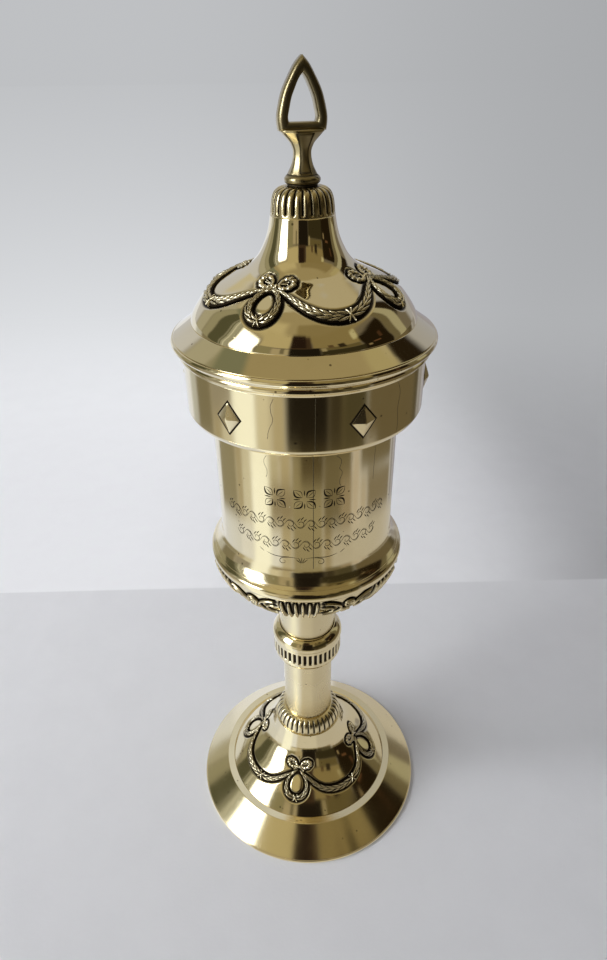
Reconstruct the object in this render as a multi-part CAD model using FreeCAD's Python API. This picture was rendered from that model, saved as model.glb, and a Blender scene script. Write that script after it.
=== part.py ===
import FreeCAD, Part
import math
import os

# Covered presentation cup on a round stepped foot.
# Units are millimetres, +Z is up, and the origin is the centre of the foot's
# underside.  The front of the cup, where the engraving sits, faces -Y.
# Every profile point is written as (radius, height).

# ---------------------------------------------------------------- dimensions
SHEET = 0.8                  # wall thickness of the spun and pressed sheet

FOOT_R = 45.0                # radius of the foot's edge
RIM_WIRE_INNER_R = 43.4
RIM_WIRE_TOP = 1.3
LEDGE_TOP = 9.45             # flat ledge between skirt and dome
LEDGE_OUTER_R = 34.85
LEDGE_INNER_R = 30.9
FOOT_TOP = 34.3              # seat of the stem on the foot

COLLAR_LOBES = 34            # lobes of the ring round the stem's foot

LOWER_TUBE_R = 9.3
UPPER_TUBE_R = 10.1
KNOP_BOTTOM = 70.2
KNOP_BAND_TOP = 80.3
KNOP_SLOTS = 40
BOWL_BOTTOM = 104.6

ROD_R = 2.4
ROD_HOLE_R = 2.8
ROD_BOTTOM = 24.6
ROD_TOP = 112.0

BODY_R = 28.0                # straight part of the cup
BODY_TOP = 174.4
COVE_BOTTOM = 126.5

BAND_R = 34.7                # wide band round the mouth
BAND_BOTTOM = 177.3
BAND_TOP = 192.6
LIP_TOP = 195.2

STUD_COUNT = 6
STUD_WIDTH = 6.9
STUD_HEIGHT = 8.6
STUD_PROUD = 1.5
STUD_MID_Z = 184.3
STUD_START_ANGLE = -34.8     # measured from the front towards +X

LID_BOTTOM = 195.4           # leaves 0.2 under the lid when it is closed
LID_RIM_TOP = 198.0
LID_JOINT_Z = 201.9          # line between the sloping flange and the dome
NECK_TOP = 228.7
BEZEL_R = 33.6               # 0.3 smaller than the mouth it drops into
BEZEL_BOTTOM = 187.5

CAP_TOP = 235.3
CAP_RIBS = 22

FINIAL_TURN = 15.0           # the loop is turned a little to the cup's front
LOOP_THICK = 4.0
LOOP_SCREW_R = 1.5


# ------------------------------------------------------------------- helpers
def vec(point):
    """Turn (radius, height) into a point of the XZ plane."""
    return FreeCAD.Vector(point[0], 0, point[1])


def smooth(points):
    """Spline edge through the given profile points."""
    curve = Part.BSplineCurve()
    curve.interpolate([vec(p) for p in points])
    return curve.toShape()


def lines(points):
    """Straight edges joining the given profile points."""
    return [Part.makeLine(vec(a), vec(b)) for a, b in zip(points, points[1:])]


def revolve(edges):
    """Solid of revolution about Z from the edges of a closed profile."""
    wire = Part.Wire(Part.__sortEdges__(edges))
    face = Part.Face(wire)
    return face.revolve(FreeCAD.Vector(0, 0, 0), FreeCAD.Vector(0, 0, 1), 360)


def turned(points):
    """Solid of revolution from a closed polygon of profile points."""
    return revolve(lines(points + [points[0]]))


def ring(inner, outer, bottom, top):
    """Plain ring, or a disc with a hole."""
    return turned([(inner, bottom), (outer, bottom), (outer, top), (inner, top)])


def offset_points(points, distance):
    """Move every profile point sideways, to the left of the travel direction."""
    moved = []
    last = len(points) - 1
    for i, (r, z) in enumerate(points):
        before = points[max(i - 1, 0)]
        after = points[min(i + 1, last)]
        dr, dz = after[0] - before[0], after[1] - before[1]
        length = math.hypot(dr, dz)
        moved.append((r - dz / length * distance, z + dr / length * distance))
    return moved


def slot_cutter(outline, depth, width, angle, reach=2.0):
    """Thin slab that cuts a slot of the given depth along a profile line.

    The outline runs upwards along the outside of the part.
    """
    inside = offset_points(outline, depth)
    outside = offset_points(outline, -reach)
    loop = inside + outside[::-1]
    corners = [FreeCAD.Vector(r, -width / 2.0, z) for r, z in loop]
    face = Part.Face(Part.makePolygon(corners + [corners[0]]))
    slab = face.extrude(FreeCAD.Vector(0, width, 0))
    slab.rotate(FreeCAD.Vector(0, 0, 0), FreeCAD.Vector(0, 0, 1), angle)
    return slab


def cut_slots(solid, outline, depth, width, angles):
    """Cut one slot at each angle."""
    cutters = [slot_cutter(outline, depth, width, a) for a in angles]
    return solid.cut(Part.makeCompound(cutters))


def even_angles(count, start=0.0):
    """Equally spaced angles round the full turn."""
    return [start + 360.0 * i / count for i in range(count)]


def front_angle(azimuth):
    """Angle about +Z from +X of an azimuth measured from the front, -Y."""
    return azimuth - 90.0


def hexagon(across_flats, bottom, top, hole):
    """Hexagon nut with a round hole."""
    radius = across_flats / math.sqrt(3.0)
    corners = []
    for i in range(7):
        a = math.radians(60.0 * i)
        corners.append(FreeCAD.Vector(radius * math.cos(a), radius * math.sin(a), bottom))
    face = Part.Face(Part.makePolygon(corners))
    nut = face.extrude(FreeCAD.Vector(0, 0, top - bottom))
    bore = Part.makeCylinder(hole, top - bottom, FreeCAD.Vector(0, 0, bottom))
    return nut.cut(bore)


def save(name, shape):
    """Write one node."""
    shape.exportStep("parts/" + name + ".step")


# ---------------------------------------------------------------------- foot
def foot_rim_wire():
    return turned([
        (RIM_WIRE_INNER_R, 0.0), (FOOT_R - 0.3, 0.0), (FOOT_R, 0.3),
        (FOOT_R, RIM_WIRE_TOP - 0.2), (FOOT_R - 0.2, RIM_WIRE_TOP),
        (RIM_WIRE_INNER_R, RIM_WIRE_TOP)])


def foot_skirt():
    return turned([
        (43.63, RIM_WIRE_TOP), (44.9, RIM_WIRE_TOP), (LEDGE_OUTER_R, LEDGE_TOP),
        (LEDGE_INNER_R, LEDGE_TOP), (LEDGE_INNER_R, LEDGE_TOP - SHEET),
        (34.56, LEDGE_TOP - SHEET)])


def foot_dome():
    outer = [(32.2, LEDGE_TOP), (29.9, 12.2), (27.5, 14.65), (25.1, 16.7), (22.7, 18.65),
             (20.5, 20.5), (18.7, 22.3), (17.3, 23.95), (16.2, 25.5), (15.3, 27.1),
             (14.6, 28.6), (14.0, 30.6), (13.5, 32.7), (13.2, FOOT_TOP)]
    inner = offset_points(outer, SHEET)
    inner[0] = (outer[0][0] - SHEET - 0.05, LEDGE_TOP)
    inner[-1] = (12.65, FOOT_TOP - SHEET)
    edges = [smooth(outer), smooth(inner)]
    edges += lines([outer[-1], (ROD_HOLE_R, FOOT_TOP), (ROD_HOLE_R, FOOT_TOP - SHEET), inner[-1]])
    edges += lines([inner[0], outer[0]])
    return revolve(edges)


def foot_collar():
    outline = [(12.75, FOOT_TOP), (12.7, 35.6), (12.3, 37.2), (11.5, 38.7), (10.6, 39.5)]
    body = turned([(LOWER_TUBE_R, FOOT_TOP)] + outline + [(LOWER_TUBE_R, 39.9)])
    angles = even_angles(COLLAR_LOBES)
    return cut_slots(body, outline, 0.55, 0.6, angles)


def foot_washer():
    return ring(ROD_HOLE_R, 11.5, FOOT_TOP - SHEET - 1.2, FOOT_TOP - SHEET)


def clamp_nut():
    top = FOOT_TOP - SHEET - 1.2
    return hexagon(8.5, top - 4.0, top, ROD_R)


def tie_rod():
    return Part.makeCylinder(ROD_R, ROD_TOP - ROD_BOTTOM, FreeCAD.Vector(0, 0, ROD_BOTTOM))


# ---------------------------------------------------------------------- stem
def stem_tube_lower():
    return ring(LOWER_TUBE_R - SHEET, LOWER_TUBE_R, FOOT_TOP, KNOP_BAND_TOP)


def knop_band():
    body = turned([
        (LOWER_TUBE_R, KNOP_BOTTOM), (11.2, KNOP_BOTTOM), (12.0, 70.9), (12.45, 72.0),
        (12.65, 73.4), (12.65, KNOP_BAND_TOP), (LOWER_TUBE_R, KNOP_BAND_TOP)])
    outline = [(12.65, 74.4), (12.65, 79.4)]
    return cut_slots(body, outline, 0.6, 0.9, even_angles(KNOP_SLOTS))


def knop_cap():
    return turned([
        (UPPER_TUBE_R, KNOP_BAND_TOP), (12.85, KNOP_BAND_TOP), (12.95, 81.0),
        (12.85, 81.8), (12.5, 82.9), (11.9, 83.9), (11.2, 84.7), (10.5, 85.1),
        (UPPER_TUBE_R, 85.1)])


def stem_tube_upper():
    return ring(UPPER_TUBE_R - SHEET, UPPER_TUBE_R, KNOP_BAND_TOP, BOWL_BOTTOM)


# ---------------------------------------------------------------------- bowl
BOWL_OUTLINE = [(11.5, BOWL_BOTTOM), (14.5, 105.1), (17.5, 106.2), (20.4, 107.8),
                (23.2, 109.9), (25.6, 112.1), (27.6, 114.3), (29.2, 116.6),
                (30.4, 119.2), (31.0, 121.3), (31.15, 122.6)]


def bowl_base():
    inner = offset_points(BOWL_OUTLINE, SHEET)
    inner[0] = (BOWL_OUTLINE[0][0], BOWL_BOTTOM + SHEET)
    inner[-1] = (BOWL_OUTLINE[-1][0] - SHEET, BOWL_OUTLINE[-1][1])
    edges = [smooth(BOWL_OUTLINE), smooth(inner)]
    edges += lines([BOWL_OUTLINE[-1], inner[-1]])
    edges += lines([inner[0], (ROD_HOLE_R, BOWL_BOTTOM + SHEET),
                    (ROD_HOLE_R, BOWL_BOTTOM), BOWL_OUTLINE[0]])
    body = revolve(edges)
    groups = even_angles(6, front_angle(-4.8))
    angles = [g + 4.7 * step for g in groups for step in (-2, -1, 0, 1, 2)]
    return cut_slots(body, BOWL_OUTLINE[4:9], 0.35, 0.8, angles)


def bowl_ring():
    return turned([
        (29.9, 122.6), (31.4, 122.6), (31.9, 123.2), (32.1, 124.1), (32.0, 125.0),
        (31.6, 125.8), (31.0, 126.3), (30.8, COVE_BOTTOM), (29.9, COVE_BOTTOM)])


def rod_boss():
    body = ring(ROD_R, 6.0, BOWL_BOTTOM + SHEET, ROD_TOP)
    lid = Part.makeCylinder(6.0, 1.5, FreeCAD.Vector(0, 0, ROD_TOP))
    return body.fuse(lid).removeSplitter()


def cup_body():
    outer = [(30.8, COVE_BOTTOM), (30.0, 127.3), (29.3, 128.4), (28.6, 129.9),
             (28.15, 131.6), (BODY_R, 133.5)]
    inner = [(r - SHEET, z) for r, z in outer]
    edges = [smooth(outer), smooth(inner)]
    edges += lines([outer[-1], (BODY_R, BODY_TOP), (BODY_R - SHEET, BODY_TOP), inner[-1]])
    edges += lines([inner[0], outer[0]])
    return revolve(edges)


def band_shoulder():
    outer = [(BODY_R, 173.3), (29.6, 173.5), (31.4, 174.1), (33.0, 175.0), (34.1, 176.1),
             (BAND_R, BAND_BOTTOM)]
    inner = [(BODY_R, BODY_TOP), (29.4, 174.4), (30.9, 174.9), (32.2, 175.6),
             (33.2, 176.4), (BAND_R - SHEET, BAND_BOTTOM)]
    return turned(outer + inner[::-1])


def mouth_band():
    return ring(BAND_R - SHEET, BAND_R, BAND_BOTTOM, BAND_TOP)


def lip_ring():
    return turned([
        (BAND_R - SHEET, BAND_TOP), (BAND_R + 0.2, BAND_TOP), (BAND_R + 0.4, 193.2),
        (35.6, 193.5), (36.0, 194.0), (36.0, 194.7), (35.7, LIP_TOP),
        (BAND_R - SHEET, LIP_TOP)])


def band_studs():
    """Six four-sided pyramids standing on the mouth band."""
    half_w, half_h = STUD_WIDTH / 2.0, STUD_HEIGHT / 2.0
    band = Part.makeCylinder(BAND_R, 30.0, FreeCAD.Vector(0, 0, STUD_MID_Z - 15.0))
    studs = []
    for azimuth in even_angles(STUD_COUNT, STUD_START_ANGLE):
        base = BAND_R - 1.0
        lip = BAND_R + 0.2
        tip = FreeCAD.Vector(BAND_R + STUD_PROUD, 0, STUD_MID_Z)
        rim = [(-half_w, 0), (0, -half_h), (half_w, 0), (0, half_h)]
        back = [FreeCAD.Vector(base, y, STUD_MID_Z + z) for y, z in rim]
        front = [FreeCAD.Vector(lip, y, STUD_MID_Z + z) for y, z in rim]
        faces = [Part.Face(Part.makePolygon(back + [back[0]]))]
        for i in range(4):
            j = (i + 1) % 4
            side = Part.makePolygon([back[i], back[j], front[j], front[i], back[i]])
            slope = Part.makePolygon([front[i], front[j], tip, front[i]])
            faces += [Part.Face(side), Part.Face(slope)]
        stud = Part.Solid(Part.makeShell(faces)).cut(band)
        stud.rotate(FreeCAD.Vector(0, 0, 0), FreeCAD.Vector(0, 0, 1), front_angle(azimuth))
        studs.append(stud)
    return Part.makeCompound(studs)


# ----------------------------------------------------------------------- lid
def lid_rim():
    return turned([
        (34.2, LID_BOTTOM), (36.2, LID_BOTTOM), (36.5, 195.9), (37.1, 196.2),
        (37.5, 196.8), (37.5, 197.4), (37.1, LID_RIM_TOP), (34.2, LID_RIM_TOP)])


def lid_flange():
    return turned([
        (35.7, LID_RIM_TOP), (37.0, LID_RIM_TOP), (31.5, LID_JOINT_Z),
        (29.9, LID_JOINT_Z), (29.9, LID_JOINT_Z - SHEET), (31.2, LID_JOINT_Z - SHEET)])


def lid_bezel():
    return turned([
        (BEZEL_R - SHEET, BEZEL_BOTTOM), (BEZEL_R, BEZEL_BOTTOM), (BEZEL_R, 197.2),
        (34.2, 197.2), (34.2, LID_RIM_TOP), (BEZEL_R - SHEET, LID_RIM_TOP)])


def lid_dome():
    outer = [(31.5, LID_JOINT_Z), (31.1, 203.2), (30.3, 204.7), (29.0, 206.6), (27.3, 208.7),
             (25.0, 210.6), (22.1, 212.3), (19.1, 213.75), (16.6, 214.65), (14.3, 216.1),
             (12.3, 218.2), (10.9, 220.5), (9.7, 223.2), (8.95, 226.0), (8.5, NECK_TOP)]
    inner = offset_points(outer, SHEET)
    inner[0] = (outer[0][0] - SHEET, LID_JOINT_Z)
    inner[-1] = (outer[-1][0] - SHEET, NECK_TOP)
    edges = [smooth(outer), smooth(inner)]
    edges += lines([outer[-1], inner[-1]])
    edges += lines([inner[0], outer[0]])
    return revolve(edges)


def lid_cap():
    outline = [(8.4, NECK_TOP), (8.3, 230.2), (8.1, 231.8), (7.7, 233.3), (7.0, 234.4),
               (6.0, 235.0), (4.9, CAP_TOP)]
    body = turned([(1.7, NECK_TOP)] + outline + [(1.7, CAP_TOP)])
    return cut_slots(body, outline[1:6] + [(5.3, 235.22)], 0.5, 0.6, even_angles(CAP_RIBS, 3.0))


def cap_washer():
    return ring(1.7, 6.5, NECK_TOP - 1.0, NECK_TOP)


def finial_nut():
    return hexagon(5.5, NECK_TOP - 3.6, NECK_TOP - 1.0, LOOP_SCREW_R)


def finial_screw():
    bottom = NECK_TOP - 4.6
    return Part.makeCylinder(LOOP_SCREW_R, 239.5 - bottom, FreeCAD.Vector(0, 0, bottom))


def finial_seat():
    return ring(1.7, 3.9, CAP_TOP, 235.9)


def octagon(across_flats, z):
    """Octagonal wire with a flat side facing the front of the loop."""
    radius = across_flats / 2.0 / math.cos(math.radians(22.5))
    corners = []
    for i in range(9):
        a = math.radians(22.5 + 45.0 * i)
        corners.append(FreeCAD.Vector(radius * math.cos(a), radius * math.sin(a), z))
    return Part.makePolygon(corners)


def arch(half_width, bottom, shoulder, top, thickness):
    """Plate in the shape of a pointed arch, centred on the XZ plane."""
    right = [(half_width, bottom), (half_width, shoulder)]
    rise = top - shoulder
    for i in range(1, 9):
        t = i / 8.0
        right.append((half_width * math.cos(t * math.pi / 2.0) ** 0.9, shoulder + rise * t))
    left = [(-r, z) for r, z in right[-2::-1]]
    outline = [FreeCAD.Vector(r, -thickness / 2.0, z) for r, z in right + left]
    face = Part.Face(Part.makePolygon(outline + [outline[0]]))
    return face.extrude(FreeCAD.Vector(0, thickness, 0))


def finial():
    """Cast finial: round base, eight-sided stem and pointed loop."""
    base = turned([(0, 235.9), (4.4, 235.9), (4.65, 236.4), (4.6, 237.1), (4.0, 237.7),
                   (3.7, 238.1), (0, 238.1)])
    stem_sizes = [(7.0, 238.1), (5.6, 239.6), (4.7, 241.4), (4.6, 242.6), (5.0, 244.2),
                  (6.6, 246.2), (7.6, 247.4)]
    stem = Part.makeLoft([octagon(width, z) for width, z in stem_sizes], True, True)
    loop = arch(5.7, 247.4, 250.6, 263.1, LOOP_THICK)
    opening = arch(3.7, 249.6, 250.4, 259.8, LOOP_THICK + 2.0)
    socket = Part.makeCylinder(LOOP_SCREW_R, 239.5 - 235.9, FreeCAD.Vector(0, 0, 235.9))
    corner = Part.makeBox(8.0, 8.0, 8.0, FreeCAD.Vector(-4.0, -4.0, -4.0))
    corner.rotate(FreeCAD.Vector(0, 0, 0), FreeCAD.Vector(0, 1, 0), 45)
    left_corner = corner.translated(FreeCAD.Vector(-9.2, 0, 244.9))
    right_corner = corner.translated(FreeCAD.Vector(9.2, 0, 244.9))
    body = base.fuse([stem, loop]).cut([opening, socket, left_corner, right_corner])
    body = body.removeSplitter()
    body.rotate(FreeCAD.Vector(0, 0, 0), FreeCAD.Vector(0, 0, 1), FINIAL_TURN)
    return body


NODES = [
    foot_rim_wire, foot_skirt, foot_dome, foot_collar, foot_washer, clamp_nut, tie_rod,
    stem_tube_lower, knop_band, knop_cap, stem_tube_upper,
    bowl_base, bowl_ring, rod_boss, cup_body, band_shoulder, mouth_band, band_studs, lip_ring,
    lid_rim, lid_flange, lid_bezel, lid_dome, lid_cap, cap_washer, finial_nut, finial_screw,
    finial_seat, finial]

os.makedirs("parts", exist_ok=True)
for make in NODES:
    save(make.__name__, make())
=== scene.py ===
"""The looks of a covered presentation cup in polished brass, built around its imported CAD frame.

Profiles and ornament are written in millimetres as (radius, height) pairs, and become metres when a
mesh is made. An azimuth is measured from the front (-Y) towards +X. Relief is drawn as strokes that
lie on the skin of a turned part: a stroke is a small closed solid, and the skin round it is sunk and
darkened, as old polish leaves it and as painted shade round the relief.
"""

import math

import bpy
import numpy as np
from mathutils import Matrix


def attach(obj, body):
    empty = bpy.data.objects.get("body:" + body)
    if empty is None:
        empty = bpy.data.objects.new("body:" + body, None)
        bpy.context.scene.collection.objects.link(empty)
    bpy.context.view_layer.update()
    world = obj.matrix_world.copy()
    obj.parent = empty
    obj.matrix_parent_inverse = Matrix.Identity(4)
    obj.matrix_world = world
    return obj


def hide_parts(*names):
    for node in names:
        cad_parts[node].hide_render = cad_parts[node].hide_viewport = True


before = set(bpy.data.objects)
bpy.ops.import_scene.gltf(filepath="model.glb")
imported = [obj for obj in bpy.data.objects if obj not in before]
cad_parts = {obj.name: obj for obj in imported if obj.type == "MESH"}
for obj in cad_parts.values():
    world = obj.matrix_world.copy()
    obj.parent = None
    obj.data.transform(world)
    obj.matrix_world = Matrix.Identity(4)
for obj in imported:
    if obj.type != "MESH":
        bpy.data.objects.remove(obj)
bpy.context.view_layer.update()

MM = 0.001
TURN = 2 * math.pi
DEGREE = 180 / math.pi
SHEET = 0.8     # the thickness of the metal, in mm
RNG = np.random.default_rng(14)


# ---- lines and profiles

def spline(points, step=0.4):
    """A natural cubic through the points, resampled about every step."""
    p = np.array(points, float)
    t = np.concatenate([[0], np.cumsum(np.linalg.norm(np.diff(p, axis=0), axis=1))])
    n, h = len(p), np.diff(t)
    a, b = np.eye(n), np.zeros_like(p)
    for i in range(1, n - 1):
        a[i, i - 1:i + 2] = h[i - 1], 2 * (h[i - 1] + h[i]), h[i]
        b[i] = 6 * ((p[i + 1] - p[i]) / h[i] - (p[i] - p[i - 1]) / h[i - 1])
    m = np.linalg.solve(a, b)
    q = np.linspace(0, t[-1], max(3, round(t[-1] / step) + 1))
    i = np.clip(np.searchsorted(t, q, side="right") - 1, 0, n - 2)
    u, v, w = (t[i + 1] - q)[:, None], (q - t[i])[:, None], h[i][:, None]
    bend = (m[i] * u**3 + m[i + 1] * v**3) / (6 * w)
    return bend + (p[i] / w - m[i] * w / 6) * u + (p[i + 1] / w - m[i + 1] * w / 6) * v


def bend(points, step=0.3):
    """A spline as a list of points, to set into an outline."""
    return list(map(tuple, spline(points, step)))


def soften(points, radius=0.25, closed=True):
    """The outline with its corners rounded. Short spans beside each corner keep the flats flat."""
    support, least_turn = 0.07, 0.16
    p, out = [np.array(q, float) for q in points], []
    n = len(p)
    for i, b in enumerate(p):
        if not closed and i in (0, n - 1):
            out.append(b)
            continue
        u, v = p[i - 1] - b, p[(i + 1) % n] - b
        lu, lv = np.linalg.norm(u), np.linalg.norm(v)
        u, v = u / lu, v / lv
        turn = math.pi - math.acos(max(-1.0, min(1.0, float(u @ v))))
        if turn < least_turn:
            out.append(b)
            continue
        cut = min(radius * math.tan(turn / 2), 0.42 * lu, 0.42 * lv)
        arc = max(3, math.ceil(turn / 0.3))
        if cut + support < 0.48 * lu:
            out.append(b + u * (cut + support))
        for k in range(arc + 1):
            t = k / arc
            out.append((1 - t)**2 * (b + u * cut) + 2 * t * (1 - t) * b + t * t * (b + v * cut))
        if cut + support < 0.48 * lv:
            out.append(b + v * (cut + support))
    return np.array(out)


class Skin:
    """The outer skin of a turned part, from low to high: finds points by azimuth and way along."""

    def __init__(self, profile):
        self.p = np.array(profile, float)
        self.s = np.concatenate([[0], np.cumsum(np.linalg.norm(np.diff(self.p, axis=0), axis=1))])
        t = np.gradient(self.p, self.s, axis=0)
        n = np.c_[t[:, 1], -t[:, 0]]
        self.n = n / np.linalg.norm(n, axis=1)[:, None]

    def radius(self, s):
        return np.interp(s, self.s, self.p[:, 0])

    def along(self, z):
        return np.interp(z, self.p[:, 1], self.s)

    def at(self, az, s, h=0.0):
        r = self.radius(s) + h * np.interp(s, self.s, self.n[:, 0])
        z = np.interp(s, self.s, self.p[:, 1]) + h * np.interp(s, self.s, self.n[:, 1])
        return turned(r, z, az)


# ---- meshes

def make(name, points, faces, material, body, nodes=(), patina_and_shade=None):
    """A piece from its points in mm, riding on a CAD body. patina_and_shade is 0 on bright metal, 1 in a
    recess: old patina there, and painted shade.
    """
    mesh = bpy.data.meshes.new(name)
    points = np.asarray(points, np.float32).reshape(-1, 3) * MM
    flat = np.concatenate([np.asarray(f, np.int32).ravel() for f in faces])
    sizes = np.concatenate([np.full(len(f), np.asarray(f).shape[1], np.int32) for f in faces])
    mesh.vertices.add(len(points))
    mesh.vertices.foreach_set("co", points.ravel())
    mesh.loops.add(len(flat))
    mesh.loops.foreach_set("vertex_index", flat)
    mesh.polygons.add(len(sizes))
    mesh.polygons.foreach_set("loop_start", np.concatenate([[0], np.cumsum(sizes)[:-1]]).astype(np.int32))
    mesh.update(calc_edges=True)
    mesh.validate()
    shade = mesh.attributes.new("patina_and_shade", "FLOAT", "POINT")
    values = np.zeros(len(points)) if patina_and_shade is None else np.asarray(patina_and_shade).ravel()
    shade.data.foreach_set("value", values.astype(np.float32))
    mesh.shade_smooth()
    mesh.materials.append(material)
    piece = bpy.data.objects.new(name, mesh)
    bpy.context.scene.collection.objects.link(piece)
    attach(piece, body)
    if nodes:
        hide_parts(*nodes)
    return piece


def quads(rows, cols, wrap_rows=True, wrap_cols=True, flip=False):
    """The faces of a grid of rows x cols points."""
    i = np.arange(rows if wrap_rows else rows - 1)[:, None]
    j = np.arange(cols if wrap_cols else cols - 1)[None, :]
    i2, j2 = (i + 1) % rows, (j + 1) % cols
    f = np.stack([i * cols + j, i * cols + j2, i2 * cols + j2, i2 * cols + j], -1).reshape(-1, 4)
    return f[:, ::-1] if flip else f


def round_azimuths(cols):
    return np.arange(cols) * TURN / cols


def turned(r, z, az):
    """Points at radius r and height z, given for each row or each point, at the azimuths az."""
    r, z, az = np.broadcast_arrays(r, z, az)
    return np.stack([r * np.sin(az), -r * np.cos(az), z], -1)


def spun(name, outline, material, body="cup", node=None, cols=320,
         radius=0.25, patina_and_shade=None):
    """A turned part: a closed outline, counter-clockwise with radius to the right, spun round the axis."""
    p = soften(outline, radius)
    pts = turned(p[:, :1], p[:, 1:], round_azimuths(cols))
    shade = None if patina_and_shade is None else np.repeat(patina_and_shade(p[:, 0], p[:, 1])[:, None], cols, 1)
    return make(name, pts, [quads(len(p), cols)], material, body, [node], shade)


def inset(profile, step=2.0):
    """The inner skin of a shell, from high to low, the sheet's thickness inside its outer profile."""
    skin = Skin(profile)
    s = np.linspace(skin.s[-1], 0, max(3, round(skin.s[-1] / step)))
    return skin.at(math.pi / 2, s, -SHEET)[:, [0, 2]]


# ---- relief strokes

# A stroke's cross-section: place across its width, share of its height, patina_and_shade (dark at the foot
# and sides: old polish, and painted shade).
ROUND = [(-1, -0.6, 1.0), (-1, 0.0, 1.0), (-0.86, 0.48, 0.42), (-0.5, 0.86, 0.05), (0, 1.0, 0.0),
         (0.5, 0.86, 0.05), (0.86, 0.48, 0.42), (1, 0.0, 1.0), (1, -0.6, 1.0)]
KEEL = [(-1, -0.6, 1.0), (-1, 0.05, 1.0), (-0.6, 0.62, 0.22), (0, 1.0, 0.0),
        (0.6, 0.62, 0.22), (1, 0.05, 1.0), (1, -0.6, 1.0)]
BED = [(-1, -0.6, 1.0), (-1, 0.0, 1.0), (-0.8, 0.6, 1.0), (0, 1.0, 1.0), (0.8, 0.6, 1.0), (1, 0.0, 1.0),
       (1, -0.6, 1.0)]
FLAT = [(-1, -1.0, 1.0), (-1, 1.0, 1.0), (0, 1.2, 1.0), (1, 1.0, 1.0), (1, -1.0, 1.0)]


class Relief:
    """Strokes on one skin, collected into one piece, with the ground that they cover."""

    def __init__(self, skin, copies=1, first=0.0):
        self.skin, self.copies, self.first = skin, copies, first
        self.points, self.faces, self.shade, self.ground, self.count = [], [], [], [], 0

    def stroke(self, az, s, width, height, section=ROUND, mark=True, base=0.0):
        """A raised line through (az, s), with its half-width and height at each point, in mm."""
        az, s = np.asarray(az, float), np.asarray(s, float)
        n = len(az)
        width, height = np.broadcast_to(width, n), np.broadcast_to(height, n)
        base = np.broadcast_to(base, n)
        du, ds = np.gradient(az) * self.skin.radius(s), np.gradient(s)
        size = np.maximum(np.hypot(du, ds), 1e-9)
        across_u, across_s = -ds / size, du / size
        x, up, dark = (np.array(c) for c in zip(*section))
        a = az[:, None] + x * (width * across_u / self.skin.radius(s))[:, None]
        b = s[:, None] + x * (width * across_s)[:, None]
        h = base[:, None] + up * height[:, None]
        m = len(x)
        ring = quads(n, m, wrap_rows=False, flip=True)
        for k in range(self.copies):
            turn = self.first + k * TURN / self.copies
            self.points.append(self.skin.at(a + turn, b, h).reshape(-1, 3))
            self.faces.append(ring + self.count)
            fans = []
            for row, way in ((0, -1), (n - 1, 1)):
                for j in range(1, m - 1):
                    tri = [row * m, row * m + j, row * m + j + 1]
                    fans.append(tri[::way])
            self.faces.append(np.array(fans) + self.count)
            self.shade.append(np.tile(dark, n))
            self.count += n * m
        if mark:
            self.ground.append(np.c_[az, s, width])

    def bead(self, az, s, radius, height):
        """A small dome: a short stroke as long as it is wide."""
        t = np.linspace(-1, 1, 9)
        shape = np.sqrt(np.maximum(1 - t * t, 0.01))
        self.stroke(az + t * radius / self.skin.radius(s), np.full(9, s), radius * shape, height * shape)

    def finish(self, name, material, body):
        tri = [f for f in self.faces if f.shape[1] == 3]
        quad = [f for f in self.faces if f.shape[1] == 4]
        return make(name, np.concatenate(self.points), [np.concatenate(quad), np.concatenate(tri)],
                    material, body, (), np.concatenate(self.shade))

    def ground_at(self, az, s):
        """How far each point of an az x s grid is from the nearest stroke's edge, in mm."""
        marks, period = np.concatenate(self.ground), TURN / self.copies
        far = np.full((len(s), len(az)), 9.0)
        r = self.skin.radius(s)[:, None]
        for a, b, w in marks:
            turn = (az[None, :] - self.first - a + period / 2) % period - period / 2
            far = np.minimum(far, np.hypot(turn * r, s[:, None] - b) - w)
        return far


def sink(far):
    """The lift and the darkening of the ground, far mm from the relief: old polish, and painted shade round
    the relief.
    """
    depth, reach, dark, steep = 0.34, 1.05, 0.92, 2.4
    groove = np.clip(1 - far / reach, 0, 1)
    shade = np.clip(steep * (1 - far / dark), 0, 1)
    return -depth * groove * groove * (3 - 2 * groove), np.where(far < 0, 1.0, shade)


def crossed_tie(relief, az, s, across, along, width, count):
    """Two short bands that cross over a swag or a wreath. across is in radians, along in mm."""
    k = np.linspace(-1, 1, count)
    for lean in (-1, 1):
        relief.stroke(az + k * lean * across, s + k * along, width, 0.50 + 0.30 * (1 - k * k), mark=False)


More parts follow.
